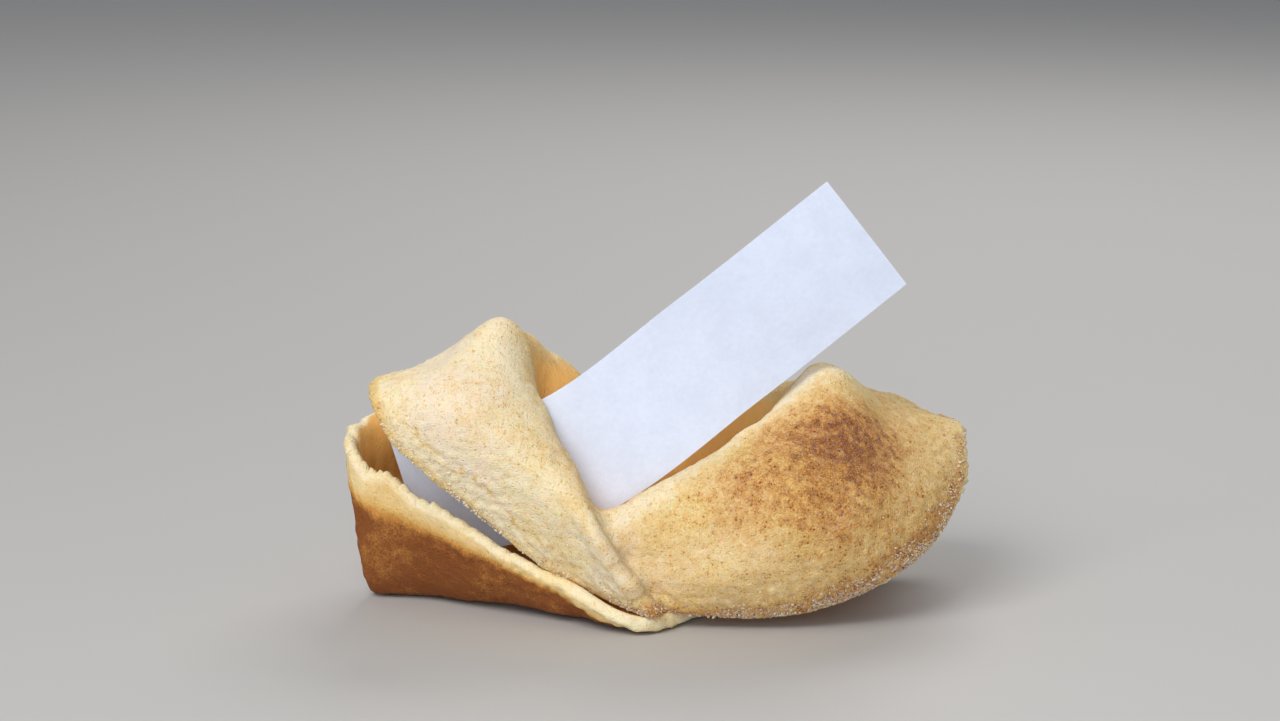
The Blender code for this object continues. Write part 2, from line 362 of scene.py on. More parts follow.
class Fold:
    """The map from the flat round to the folded one: the smoothest sheet near the landmarks, a plane
    plus one thin-plate kernel for each landmark, p(u) = a + B u + sum of w_i k(u - u_i)."""

    def __init__(self, thickness):
        self.half = thickness / 2
        self.flat, folded = landmarks()
        count = len(self.flat)
        kernel = bending(self.flat[:, None] - self.flat[None]) + SPLINE_EASE * np.eye(count)
        plane = np.column_stack([np.ones(count), self.flat])
        system = np.block([[kernel, plane], [plane.T, np.zeros((3, 3))]])
        solved = np.linalg.solve(system, np.vstack([folded, np.zeros((3, 3))]))
        self.bends = solved[:count]
        self.tilt = solved[count:]

    def middle(self, places):
        """The middle of the wafer, kept half a thickness above the table by the soft floor
        z = half + s log(1 + exp((z - half) / s)), where s is BASE_SOFTNESS."""
        plane = np.column_stack([np.ones(len(places)), places])
        points = bending(places[:, None] - self.flat[None]) @ self.bends + plane @ self.tilt
        height = (points[:, 2] - self.half) / BASE_SOFTNESS
        points[:, 2] = self.half + BASE_SOFTNESS * np.logaddexp(0.0, height)
        return points

    def outward(self, places):
        """The direction out of the folded round, from the slopes of the map."""
        step = NORMAL_STEP
        along = self.middle(places + [step, 0.0]) - self.middle(places - [step, 0.0])
        across = self.middle(places + [0.0, step]) - self.middle(places - [0.0, step])
        normal = np.cross(across, along)
        return normal / np.linalg.norm(normal, axis=1, keepdims=True)


def round_grid(rings):
    """Points of a round of radius 1 on rings, with six more points on each ring than on the one inside
    it, and the triangles between the rings. Point j of ring k is at radius k / rings and at the angle
    2 pi j / 6k. Returns the points, the triangles and the first point of the last ring."""
    ring = np.repeat(np.arange(1, rings + 1), 6 * np.arange(1, rings + 1))
    first = np.arange(1, len(ring) + 1)
    start = 1 + 3 * ring * (ring - 1)
    spot = first - start
    turn = 2 * math.pi * spot / (6 * ring)
    reach = ring / rings
    points = np.vstack([[0.0, 0.0], np.column_stack([reach * np.cos(turn), reach * np.sin(turn)])])
    sector, step = np.divmod(spot, ring)
    inside = np.maximum(6 * (ring - 1), 1)
    inside_start = np.where(ring > 1, 1 + 3 * (ring - 1) * (ring - 2), 0)
    second = start + (spot + 1) % (6 * ring)
    third = inside_start + (sector * (ring - 1) + step) % inside
    fourth = inside_start + (sector * (ring - 1) + step + 1) % inside
    outer = np.column_stack([third, first, second])
    inner = np.column_stack([third, second, fourth])[step < ring - 1]
    return points, np.vstack([outer, inner]), start[-1]


def waves(points, rng, lengths, count):
    """Rolling noise with mean square 1: sqrt(2 / count) times the sum of sin(2 pi d.p / length + phase)
    over count plane waves in random directions d, with lengths between the two given."""
    direction = rng.normal(size=(points.shape[1], count))
    direction /= np.linalg.norm(direction, axis=0)
    pitch = 2 * math.pi / rng.uniform(lengths[0], lengths[1], count)
    phase = rng.uniform(0, 2 * math.pi, count)
    return np.sin(points @ direction * pitch + phase).sum(axis=1) * math.sqrt(2.0 / count)


def ragged_radius(turns, rng, depth):
    """The radius of the round at each angle, with the small bites and tongues of a baked edge."""
    radius = np.full(len(turns), ROUND_RADIUS)
    for wave in RAGGED_WAVES:
        share_of_depth = depth * math.sqrt(RAGGED_WAVES[0] / wave)
        radius += share_of_depth * np.sin(wave * turns + rng.uniform(0, 2 * math.pi))
    return radius


def smooth(zero_at, one_at, value):
    """A smooth step, 3 t^2 - 2 t^3: 0 up to the first value and 1 from the second on. It falls where the
    second value is the smaller."""
    part = np.clip((value - zero_at) / (one_at - zero_at), 0.0, 1.0)
    return part * part * (3.0 - 2.0 * part)


def spots_on(places, spots):
    """The sum of the spots at each place on the flat round, each amount * exp(-d^2 / reach^2) at the
    distance d from its middle."""
    return sum(
        amount * np.exp(-((places - centre) ** 2).sum(axis=1) / reach**2)
        for centre, reach, amount in spots
    )


def bell(distance, width):
    """1 on a line and less beside it, exp(-(distance / width)^2)."""
    return np.exp(-((distance / width) ** 2))


def bake_and_painted_light_map(places):
    """How strongly each place on the round is baked, from 0 for cream to 1 for brown, with painted light
    mixed in: pale on the left front wall, golden on the right, a painted orange glow deep in the dent,
    and brown on the left's lower layer, partly baked and partly painted shade. Each part has a level
    with spots, bands along the dent's rim and a border by the free edge, and smooth weights blend the
    parts. The front's spots and the bands along the dent's rim are painted highlight and painted shade."""
    along, side = places[:, 0], places[:, 1]
    inset = ROUND_RADIUS - np.hypot(along, side)
    reach = dent_reach(along)
    upper = smooth(-2.0, 4.0, side)
    right = smooth(-3.0, 6.0, along)
    left = 1.0 - right
    depth = smooth(-3.0, 8.0, reach - np.abs(side))

    # The pale band along the dent's front rim on the right wall is a painted highlight on the rounded
    # fold.
    right_wall = 0.44 + spots_on(places, RIGHT_WALL_SPOTS) - 0.30 * bell(reach - side, 3.0)
    right_wall += 0.34 * smooth(4.5, 0.5, inset) * smooth(0.30, 0.60, side / ROUND_RADIUS)
    # The two bands along the left wall's right border, beside the dent's front rim and across towards the
    # tip, are painted shade where the fold curves away.
    left_wall = 0.14 + spots_on(places, LEFT_WALL_SPOTS) + 0.16 * bell(side - reach, 2.6)
    left_wall += 0.14 * bell(along + 1.0, 2.6) + 0.28 * smooth(1.9, 0.3, inset)
    # The front spots add a painted highlight on the right peak and painted shade on the left wall's tip.
    front = right * right_wall + left * left_wall + spots_on(places, FRONT_PAINTED_LIGHT_SPOTS)

    # The left's lower layer is brown within about 17 mm of its edge, partly its own bake and partly
    # painted shade where it faces down; its rim is pale.
    left_back_bake_and_shade = 0.40 + 0.62 * smooth(17.0, 10.0, inset) - 0.70 * smooth(1.9, 0.2, inset)
    back = right * 0.50 + left * left_back_bake_and_shade + spots_on(places, BACK_SPOTS)

    tone = back + (front - back) * upper
    # Painted glow: the dent's middle is orange for light passing through the wafer and bouncing between
    # its walls, and paler towards the rims.
    dent = 0.62 - 0.45 * smooth(0.55, 1.0, np.abs(side) / np.maximum(reach, 1.0))
    return tone + (dent - tone) * depth


def dent_map(places):
    """1 in the middle of the dent, where the wafer is smooth and takes the painted orange glow of light
    passing through the wafer, as it does inside the lobes, and 0 past the dent's rims."""
    inward = dent_reach(places[:, 0]) - np.abs(places[:, 1])
    return smooth(1.0, 5.0, inward) * smooth(1.0, 5.0, dent_reach(places[:, 0]))


def torn_line(turns, inset, points, rng):
    """1 along the broken line of open pores beside the free edge of the left front wall, a bell across a
    wandering distance from that edge, and 0 elsewhere."""
    distance = 4.2 + 0.6 * np.sin(9.0 * turns) + 0.5 * waves(points, rng, (0.9, 1.8), 32)
    window = smooth(*TORN_START, turns) * smooth(*TORN_END, turns)
    broken = smooth(-0.6, 0.6, waves(points, rng, (1.2, 3.5), 32))
    return bell(inset - distance, 0.45) * window * broken


def rim_band(fold, rim, outward, half, turns, rng, crumble):
    """Loops of points across the free edge, from the outer face to the inner one: loop k stands at the
    angle pi k / (EDGE_LOOPS + 1) round the edge's half circle, roughened by small waves."""
    band = []
    shared = ring_noise(turns, rng)
    for loop in range(1, EDGE_LOOPS + 1):
        angle = math.pi * loop / (EDGE_LOOPS + 1)
        rough = crumble * math.sin(angle) * (shared + 0.4 * ring_noise(turns, rng))
        reach = 1.0 + (half * math.sin(angle) + rough) / ROUND_RADIUS
        middle = fold.middle(rim * reach[:, None])
        band.append(middle + outward * (half * math.cos(angle) + 0.4 * rough)[:, None])
    return band


def ring_noise(turns, rng):
    """Noise round the edge with mean square 1: a sum of sines with 50 to 260 waves a turn."""
    count = 32
    number = rng.integers(50, 260, count)
    phase = rng.uniform(0, 2 * math.pi, count)
    return np.sin(turns[:, None] * number + phase).sum(axis=1) * math.sqrt(2.0 / count)


def outer_bumps(middle, inset, rng):
    """The relief of the outer face: long, medium and short waves, the short ones rougher by the edge."""
    long = 1.4 * waves(middle, rng, (4.0, 9.0), 24)
    medium = 0.6 * waves(middle, rng, (1.6, 3.2), 48)
    short = 0.7 * waves(middle, rng, (0.9, 1.5), 96)
    return long + medium + short * (1.0 + 1.2 * smooth(11.0, 2.0, inset))


def edge_faces(start, count):
    """The triangles across the free edge, from the outer face's last ring over the loops of the edge to
    the inner face's. Each face has count points, and its last ring begins at start."""
    ring = count - start
    here = np.arange(ring)
    there = (here + 1) % ring
    loops = [2 * count + ring * loop for loop in range(EDGE_LOOPS)]
    lines = [start, *loops, count + start]
    sides = []
    for low, high in zip(lines[:-1], lines[1:]):
        sides.append(np.column_stack([low + here, high + there, high + here]))
        sides.append(np.column_stack([low + here, low + there, high + there]))
    return sides


def wafer_values(places, turns, inset, crack, start):
    """What the material reads at each point: how strongly it is baked, with painted light mixed in, its
    distance from the free edge, and how smooth it is and how much painted orange glow of light passing
    through the wafer it takes, from 0 outside to 1 on the inner face."""
    count, ring = len(places), len(places) - start
    bake = bake_and_painted_light_map(places) + TORN_BAKE * crack
    rim_turns = turns[start:]
    left_edge = smooth(math.radians(94), math.radians(100), rim_turns)
    left_edge *= rim_turns < math.radians(160)
    rim_bake = 0.10 + 0.12 * bake[start:] + 0.24 * left_edge
    lower_left = smooth(2.0, -4.0, places[:, 1]) * smooth(4.0, -4.0, places[:, 0])
    # Smoothness, and in the dent also the share of painted orange glow that the material mixes in.
    smoothness_and_glow = np.maximum(0.92 * dent_map(places), 0.60 * lower_left)
    return {
        "bake": np.concatenate([bake, 0.28 + 0.5 * bake] + [rim_bake] * EDGE_LOOPS),
        "inset": np.concatenate([inset, inset, np.zeros(ring * EDGE_LOOPS)]),
        "inner": np.concatenate([smoothness_and_glow, np.ones(count), np.full(ring * EDGE_LOOPS, 0.5)]),
    }


def wafer_surface(settings):
    """The folded wafer in millimetres: its outer and inner faces, each the middle sheet moved along its
    normal by half the thickness plus relief, joined by the rounded edge. Returns the points, the faces
    and the values at each point that the material reads."""
    rng = np.random.default_rng(SEED)
    fold = Fold(settings.thickness / MM)
    unit, faces, start = round_grid(settings.rings)
    turns = np.arctan2(unit[:, 1], unit[:, 0])
    places = unit * ragged_radius(turns, rng, settings.ragged_depth / MM)[:, None]
    inset = ROUND_RADIUS * (1.0 - np.linalg.norm(unit, axis=1))
    rim_half = settings.rim_thickness / MM / 2
    half = rim_half + (fold.half - rim_half) * np.clip(inset / RIM_TAPER_WIDTH, 0.0, 1.0)
    relief = settings.relief / MM
    middle = fold.middle(places)
    outward = fold.outward(places)
    bumps = outer_bumps(middle, inset, rng)
    crack = torn_line(turns, inset, middle, rng)
    outer = middle + outward * (half + relief * (bumps - TORN_DEPTH * crack))[:, None]
    ripples = 0.5 * relief * waves(middle, rng, (1.8, 4.0), 48)
    inner = middle - outward * (half + ripples)[:, None]
    rim = slice(start, len(places))
    crumble = settings.crumble_depth / MM
    band = rim_band(fold, places[rim], outward[rim], rim_half, turns[rim], rng, crumble)
    points = np.vstack([outer, inner] + band)
    points[:, 2] = np.maximum(points[:, 2], 0.0)
    count = len(places)
    faces = np.vstack([faces[:, ::-1], faces + count] + edge_faces(start, count))
    return points, faces, wafer_values(places, turns, inset, crack, start)


def frame_offset(points):
    """From the folded round's millimetres to the part's: the middle of the wafer's box lies at the
    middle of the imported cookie's box, and both stand on the table."""
    low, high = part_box("cookie")
    middle = (np.array(low) + np.array(high)) / (2 * MM)
    own = (points.min(axis=0) + points.max(axis=0)) / 2
    return np.array([middle[0] - own[0], middle[1] - own[1], 0.0])


def path_at(knots, spots):
    """A smooth curve through evenly spaced knots, read at spots from 0 to 1. Between the knots b and c
    it is (2 b + (c - a) t + (2 a - 5 b + 4 c - d) t^2 + (3 b - a - 3 c + d) t^3) / 2 (Catmull-Rom)."""
    knots = np.array(knots, float)
    padded = np.vstack([2 * knots[0] - knots[1], knots, 2 * knots[-1] - knots[-2]])
    reach = np.clip(spots, 0.0, 1.0) * (len(knots) - 1)
    start = np.minimum(reach.astype(int), len(knots) - 2)
    part = (reach - start)[:, None]
    before, here, there, after = (padded[start + step] for step in range(4))
    bend = 2 * before - 5 * here + 4 * there - after
    twist = 3 * here - before - 3 * there + after
    return 0.5 * (2 * here + (there - before) * part + bend * part**2 + twist * part**3)


def paper_surface(settings):
    """The slip in millimetres: across each place of its path runs a straight line, and the sheet so made
    is moved half a thickness to either side, with faint long buckles. Its border is closed."""
    spots = np.linspace(0.0, 1.0, SLIP_ROWS)
    middle = path_at(SLIP_MIDDLE, spots)
    along = np.gradient(middle, axis=0)
    along /= np.linalg.norm(along, axis=1, keepdims=True)
    across = path_at(SLIP_ACROSS, spots)
    across -= (across * along).sum(axis=1, keepdims=True) * along
    across /= np.linalg.norm(across, axis=1, keepdims=True)
    facing = np.repeat(np.cross(along, across), SLIP_COLUMNS, axis=0)
    column = np.linspace(-0.5, 0.5, SLIP_COLUMNS)
    rng = np.random.default_rng(SEED)
    flat_length, flat_width = SLIP_FLAT_SIZE
    flat = np.broadcast_arrays(flat_length * spots[:, None], flat_width * column[None])
    flat = np.stack(flat, axis=-1).reshape(-1, 2)
    buckle = settings.wave / MM * waves(flat, rng, (14.0, 40.0), 12)
    sheet = middle[:, None] + across[:, None] * (settings.width / MM * column)[None, :, None]
    sheet = sheet.reshape(-1, 3)
    half = settings.thickness / MM / 2
    front = sheet + facing * (buckle + half)[:, None]
    back = sheet + facing * (buckle - half)[:, None]
    count = len(sheet)
    index = np.arange(count).reshape(SLIP_ROWS, SLIP_COLUMNS)
    corner = index[:-1, :-1].ravel()
    across_row = corner + SLIP_COLUMNS
    quads = np.column_stack([corner, across_row, across_row + 1, corner + 1])
    border = np.concatenate([index[0], index[1:, -1], index[-1, -2::-1], index[-2:0:-1, 0]])
    following = np.roll(border, -1)
    sides = np.column_stack([border, following, following + count, border + count])
    return np.vstack([front, back]), np.vstack([quads, quads[:, ::-1] + count, sides])


def crumb_shape():
    """The twelve corners and twenty faces of an icosahedron of radius 1: the corners are (0, 1, g) with
    every sign and in every cyclic order, where g is the golden ratio."""
    golden = (1 + math.sqrt(5)) / 2
    corners = []
    for near, far in ((-1, -golden), (-1, golden), (1, -golden), (1, golden)):
        corners += [(0, near, far), (near, far, 0), (far, 0, near)]
    corners = np.array(corners, float) / math.hypot(1, golden)
    gaps = np.linalg.norm(corners[:, None] - corners[None], axis=-1)
    edge = np.unique(np.round(gaps, 6))[1]
    touch = np.abs(gaps - edge) < 1e-4
    triples = [
        (a, b, c)
        for a in range(12)
        for b in range(a + 1, 12)
        for c in range(b + 1, 12)
        if touch[a, b] and touch[b, c] and touch[a, c]
    ]
    faces = np.array(triples)
    first, second, third = (corners[faces[:, corner]] for corner in range(3))
    normal = np.cross(second - first, third - first)
    inward = (normal * (first + second + third)).sum(axis=1) < 0
    faces[inward] = faces[inward][:, ::-1]
    return corners, faces


def random_turns(rng, count):
    """Random rotation matrices: unit quaternions (w, x, y, z) drawn evenly and written out."""
    quaternion = rng.normal(size=(4, count))
    w, x, y, z = quaternion / np.linalg.norm(quaternion, axis=0)
    rows = [
        [1 - 2 * (y * y + z * z), 2 * (x * y - w * z), 2 * (x * z + w * y)],
        [2 * (x * y + w * z), 1 - 2 * (x * x + z * z), 2 * (y * z - w * x)],
        [2 * (x * z - w * y), 2 * (y * z + w * x), 1 - 2 * (x * x + y * y)],
    ]
    return np.array(rows).transpose(2, 0, 1)


def crumb_field(settings, wafer):
    """Crumbs in millimetres: dented icosahedra, some round the half circle of the free edge, the others
    on the outer face with their distance from the edge drawn from a falling exponential."""
    rng = np.random.default_rng(SEED + 1)
    count = settings.count
    middles, shares = list(CRUMB_STRETCHES), list(CRUMB_STRETCHES.values())
    turn = np.radians(rng.choice(middles, count, p=shares))
    turn += rng.uniform(-CRUMB_SPREAD, CRUMB_SPREAD, count)
    fold = Fold(wafer.thickness / MM)
    rim_half = wafer.rim_thickness / MM / 2
    round_edge = rng.uniform(0.0, 0.85 * math.pi, count)
    on_face = rng.uniform(size=count) < CRUMB_FACE_SHARE
    falling = rng.exponential(CRUMB_FALLOFF, count)
    inset = np.where(on_face, falling, -rim_half * np.sin(round_edge))
    lift = np.where(on_face, rim_half, rim_half * np.cos(round_edge))
    reach = ROUND_RADIUS - np.minimum(inset, CRUMB_FARTHEST)
    places = np.column_stack([reach * np.cos(turn), reach * np.sin(turn)])
    size = settings.smallest + (settings.largest - settings.smallest) * rng.beta(1.2, 5.0, count)
    size = size / MM
    centres = fold.middle(places) + fold.outward(places) * (lift + 0.1 * size)[:, None]
    corners, faces = crumb_shape()
    shape = corners[None] * rng.uniform(0.6, 1.25, (count, len(corners), 1))
    shape = np.einsum("nij,nkj->nki", random_turns(rng, count), shape)
    points = centres[:, None] + shape * size[:, None, None]
    points[..., 2] = np.maximum(points[..., 2], 0.0)
    faces = (faces[None] + len(corners) * np.arange(count)[:, None, None]).reshape(-1, 3)
    tone = rng.uniform(0, 1, count) * np.where(turn > LEFT_WALL_START, 0.25, 1.0)
    return points.reshape(-1, 3), faces, np.repeat(tone, len(corners))


def make_piece(name, points, faces, material, values=None):
    """A mesh object at the origin from points in metres, with its values as point attributes."""
    mesh = bpy.data.meshes.new(name)
    sides = faces.shape[1]
    mesh.vertices.add(len(points))
    mesh.vertices.foreach_set("co", points.astype(np.float32).ravel())
    mesh.loops.add(faces.size)
    mesh.loops.foreach_set("vertex_index", faces.astype(np.int32).ravel())
    mesh.polygons.add(len(faces))
    mesh.polygons.foreach_set("loop_start", np.arange(0, faces.size, sides, dtype=np.int32))
    mesh.update(calc_edges=True)
    mesh.validate()
    mesh.shade_smooth()
    for label, value in (values or {}).items():
        layer = mesh.attributes.new(label, "FLOAT", "POINT")
        layer.data.foreach_set("value", value.astype(np.float32))
    mesh.materials.append(material)
    piece = bpy.data.objects.new(name, mesh)
    bpy.context.scene.collection.objects.link(piece)
    return piece


def set_sockets(node, **values):
    """Sets input sockets by name, with _ for each space in the name."""
    for label, value in values.items():
        node.inputs[label.replace("_", " ")].default_value = value


def new_node(tree, kind, settings=None, **values):
    """A node with its settings and the values of its input sockets, both by name."""
    node = tree.nodes.new(kind)
    for label, value in (settings or {}).items():
        setattr(node, label, value)
    set_sockets(node, **values)
    return node


def feed(tree, socket, value):
    """Links a socket's value to an input, or sets the input to a plain value."""
    if isinstance(value, bpy.types.NodeSocket):
        tree.links.new(value, socket)
    else:
        socket.default_value = value


def mixed(tree, factor, low, high, blend="MIX"):
    """The colour between low and high: each is a colour or a socket."""
    node = new_node(tree, "ShaderNodeMix", {"data_type": "RGBA", "blend_type": blend})
    for place, value in ((0, factor), (6, low), (7, high)):
        feed(tree, node.inputs[place], value)
    return node.outputs[2]


def sums(tree, operation, first, second, clamp=False):
    """A number from two others: each is a number or a socket."""
    node = new_node(tree, "ShaderNodeMath", {"operation": operation, "use_clamp": clamp})
    feed(tree, node.inputs[0], first)
    feed(tree, node.inputs[1], second)
    return node.outputs[0]


def swing(tree, value, depth):
    """Noise around 0.5 as noise around 0, with the depth as its scale."""
    return sums(tree, "MULTIPLY", sums(tree, "SUBTRACT", value, 0.5), depth)


def ranged(tree, value, low, high, to_low=0.0, to_high=1.0):
    """A smooth rise from to_low to to_high as the value goes from low to high."""
    node = new_node(tree, "ShaderNodeMapRange", {"interpolation_type": "SMOOTHSTEP"})
    tree.links.new(value, node.inputs["Value"])
    set_sockets(node, From_Min=low, From_Max=high, To_Min=to_low, To_Max=to_high)
    return node.outputs["Result"]


def noise(tree, coordinates, size, detail, roughness=0.5):
    """Soft noise around 0.5, with features of the size in metres."""
    values = {"Scale": 1.0 / size, "Detail": detail, "Roughness": roughness}
    node = new_node(tree, "ShaderNodeTexNoise", **values)
    tree.links.new(coordinates, node.inputs["Vector"])
    return node.outputs[0]


def bumped(tree, shader, height, strength, distance):
    """Bends the shader's normal by the height."""
    bump = new_node(tree, "ShaderNodeBump", Strength=strength, Distance=distance)
    tree.links.new(height, bump.inputs["Height"])
    tree.links.new(bump.outputs[0], shader.inputs["Normal"])


def value_of(tree, label):
    """The point attribute of that name."""
    return new_node(tree, "ShaderNodeAttribute", {"attribute_name": label}).outputs["Fac"]


def object_place(tree):
    """The place in the object, in metres."""
    return tree.nodes.new("ShaderNodeTexCoord").outputs["Object"]


def baked_grain():
    """The shared surface of wafer and crumbs: scattered pores of two sizes over sugary grain. It puts out
    the mask of the pores, the grain around 0.5, and the height of both together."""
    group = bpy.data.node_groups.new("baked grain", "ShaderNodeTree")
    for label, default in (("Pore Size", 0.0012), ("Grain Size", 0.0003)):
        socket = group.interface.new_socket(label, in_out="INPUT", socket_type="NodeSocketFloat")
        socket.default_value = default
    for label in ("Pores", "Grain", "Height"):
        group.interface.new_socket(label, in_out="OUTPUT", socket_type="NodeSocketFloat")
    inside = group.nodes.new("NodeGroupInput")
    outside = group.nodes.new("NodeGroupOutput")
    place = object_place(group)

    def cells(divisor, low, high, kept):
        """A mask of round pits, one in each of the cells whose random value is above kept."""
        scale = sums(group, "DIVIDE", divisor, inside.outputs["Pore Size"])
        node = new_node(group, "ShaderNodeTexVoronoi")
        group.links.new(place, node.inputs["Vector"])
        group.links.new(scale, node.inputs["Scale"])
        pit = ranged(group, node.outputs["Distance"], low, high, 1.0, 0.0)
        split = new_node(group, "ShaderNodeSeparateColor")
        group.links.new(node.outputs["Color"], split.inputs[0])
        return sums(group, "MULTIPLY", pit, ranged(group, split.outputs[0], kept, kept + 0.2))

    large = cells(1.0, 0.08, 0.36, 0.40)
    small = cells(2.1, 0.10, 0.45, 0.30)
    pores = sums(group, "MAXIMUM", large, sums(group, "MULTIPLY", small, 0.75))
    scale = sums(group, "DIVIDE", 1.0, inside.outputs["Grain Size"])
    grain = new_node(group, "ShaderNodeTexNoise", Detail=3.0, Roughness=0.65)
    group.links.new(place, grain.inputs["Vector"])
    group.links.new(scale, grain.inputs["Scale"])
    pits = sums(group, "MULTIPLY", pores, 0.6)
    height = sums(group, "SUBTRACT", sums(group, "MULTIPLY", grain.outputs[0], 0.9), pits)
    group.links.new(pores, outside.inputs["Pores"])
    group.links.new(grain.outputs[0], outside.inputs["Grain"])
    group.links.new(height, outside.inputs["Height"])
    return group


def grain_node(tree, pore_size, grain_size):
    """The shared grain, with these sizes in metres."""
    node = tree.nodes.new("ShaderNodeGroup")
    node.node_tree = bpy.data.node_groups.get("baked grain") or baked_grain()
    set_sockets(node, Pore_Size=pore_size, Grain_Size=grain_size)
    return node


def new_material(name):
    """A material with its node tree and its shader."""
    material = bpy.data.materials.new(name)
    material.use_nodes = True
    return material, material.node_tree, material.node_tree.nodes["Principled BSDF"]


def bake_ramp(tree, settings, tone):
    """The colour for the tone, from cream to brown: the wafer's bake and the painted light that the tone
    carries.
    """
    ramp = new_node(tree, "ShaderNodeValToRGB")
    tree.links.new(tone, ramp.inputs[0])
    steps = {
        0.10: settings.cream,
        0.32: settings.straw,
        0.55: settings.golden,
        0.78: settings.amber,
        1.0: settings.brown,
    }
    elements = ramp.color_ramp.elements
    for position in list(steps)[1:-1]:
        elements.new(position)
    for element, (position, tint) in zip(elements, steps.items()):
        element.position = position
        element.color = (*tint, 1.0)
    return ramp.outputs[0]


def speckle(tree, grain, fine, bake, inner):
    """How much deeper or paler each grain and pore is baked: strong where the bake is, weak inside."""
    both = sums(tree, "ADD", swing(tree, fine, 0.7), swing(tree, grain.outputs["Grain"], 0.9))
    both = sums(tree, "MULTIPLY", both, ranged(tree, bake, 0.1, 0.8, 0.85, 1.4))
    depth = ranged(tree, inner, 0.3, 0.9, 0.38, 0.05)
    pores = sums(tree, "MULTIPLY", grain.outputs["Pores"], depth)
    pores = sums(tree, "MULTIPLY", pores, ranged(tree, fine, 0.42, 0.62, 0.15, 1.0))
    both = sums(tree, "ADD", both, pores)
    return sums(tree, "MULTIPLY", both, ranged(tree, inner, 0.2, 0.6, 1.0, 0.3))


def wafer_material(settings):
    """Baked wafer: the bake value, mottled by noise, picks a colour from cream to brown. Pores are
    deeper baked, the outside by the free edge is pale with sugar flecks, partly real sugar and partly
    painted glints, and the inner face is smoother and painted an orange glow that stands in for light
    passing through the wafer."""
    material, tree, shader = new_material("baked wafer")
    place = object_place(tree)
    grain = grain_node(tree, settings.pore_size, settings.grain_size)
    broad = noise(tree, place, 0.007, 3.0, 0.6)
    fine = noise(tree, place, 0.0011, 4.0, 0.7)
    hue = noise(tree, place, 0.009, 2.0)
    bake, inset, inner = (value_of(tree, label) for label in ("bake", "inset", "inner"))
    edge = ranged(tree, inset, 0.2, 7.0, 1.0, 0.0)

    tone = sums(tree, "ADD", bake, swing(tree, broad, 0.55))
    tone = sums(tree, "ADD", tone, speckle(tree, grain, fine, bake, inner), clamp=True)
    # Pale flecks on the grain's high points, strongest by the free edge: partly real sugar, partly
    # painted glints of light.
    sugar = ranged(tree, grain.outputs["Grain"], 0.52, 0.66)
    sugar = sums(tree, "MULTIPLY", sugar, ranged(tree, edge, 0.0, 1.0, 0.30, 0.50))
    sugar = sums(tree, "MULTIPLY", sugar, ranged(tree, inner, 0.1, 0.5, 1.0, 0.0))
    tint = mixed(tree, sugar, bake_ramp(tree, settings, tone), SUGAR_AND_GLINTS)
    yellow = sums(tree, "MAXIMUM", ranged(tree, hue, 0.40, 0.62), ranged(tree, edge, 0.0, 0.7))
    tint = mixed(tree, 1.0, tint, mixed(tree, yellow, ROSY_CAST, YELLOW_CAST), "MULTIPLY")
    # Painted glow: the inner face and the middle of the dent are mixed towards the orange inside colour,
    # for light passing through the wafer.
    deep = ranged(tree, inner, 0.6, 1.0, 0.0, 0.75)
    tint = mixed(tree, deep, tint, (*settings.inside, 1.0))
    tree.links.new(tint, shader.inputs["Base Color"])

    rough = ranged(tree, grain.outputs["Grain"], 0.3, 0.7, 0.92, 0.72)
    tree.links.new(rough, shader.inputs["Roughness"])
    softer = ranged(tree, inner, 0.3, 0.9, 1.0, 0.45)
    bumped(tree, shader, sums(tree, "MULTIPLY", grain.outputs["Height"], softer), 1.0, 0.00018)
    set_sockets(
        shader,
        Subsurface_Weight=settings.translucency,
        Subsurface_Radius=(1.0, 0.45, 0.16),
        Subsurface_Scale=0.0016,
        Specular_IOR_Level=0.22,
    )
    return material


def crumb_material(settings, wafer):
    """Crumbs: each one's own value picks a colour between sugar and baked wafer."""
    material, tree, shader = new_material("crumbs")
    grain = grain_node(tree, wafer.pore_size * 0.5, wafer.grain_size * 0.6)
    pale, baked = (*settings.pale, 1.0), (*settings.baked, 1.0)
    tint = mixed(tree, value_of(tree, "tone"), pale, baked)
    tree.links.new(tint, shader.inputs["Base Color"])
    bumped(tree, shader, grain.outputs["Height"], 0.5, 0.00008)
    set_sockets(
        shader,
        Roughness=0.7,
        Subsurface_Weight=0.4,
        Subsurface_Radius=(1.0, 0.6, 0.3),
        Subsurface_Scale=0.0006,
    )
    return material


def paper_material(settings):
    """Uncoated paper: faint cloudy tone and fine fibres in colour and height."""
    material, tree, shader = new_material("uncoated paper")
    place = object_place(tree)
    cloud = noise(tree, place, 0.004, 3.0)
    fibre = noise(tree, place, settings.fibre_size, 4.0, 0.7)
    halves = [sums(tree, "MULTIPLY", layer, 0.5) for layer in (cloud, fibre)]
    blend = ranged(tree, sums(tree, "ADD", *halves), 0.3, 0.7)
    light = tuple(min(1.0, 1.05 * part) for part in settings.tone)
    dark = tuple(0.95 * part for part in settings.tone)
    tint = mixed(tree, blend, (*dark, 1.0), (*light, 1.0))
    tree.links.new(tint, shader.inputs["Base Color"])
    bumped(tree, shader, fibre, 0.5, 0.00006)
    set_sockets(
        shader,
        Roughness=0.75,
        Specular_IOR_Level=0.3,
        Subsurface_Weight=0.15,
        Subsurface_Radius=(1.0, 0.95, 0.9),
        Subsurface_Scale=0.0005,
    )
    return material


def stand(name, data, place, aim):
    """Puts a lamp or a camera at a place, turned to the aim."""
    item = bpy.data.objects.new(name, data)
    item.location = place
    item.rotation_euler = (aim - place).to_track_quat("-Z", "Y").to_euler()
    bpy.context.scene.collection.objects.link(item)
    return item


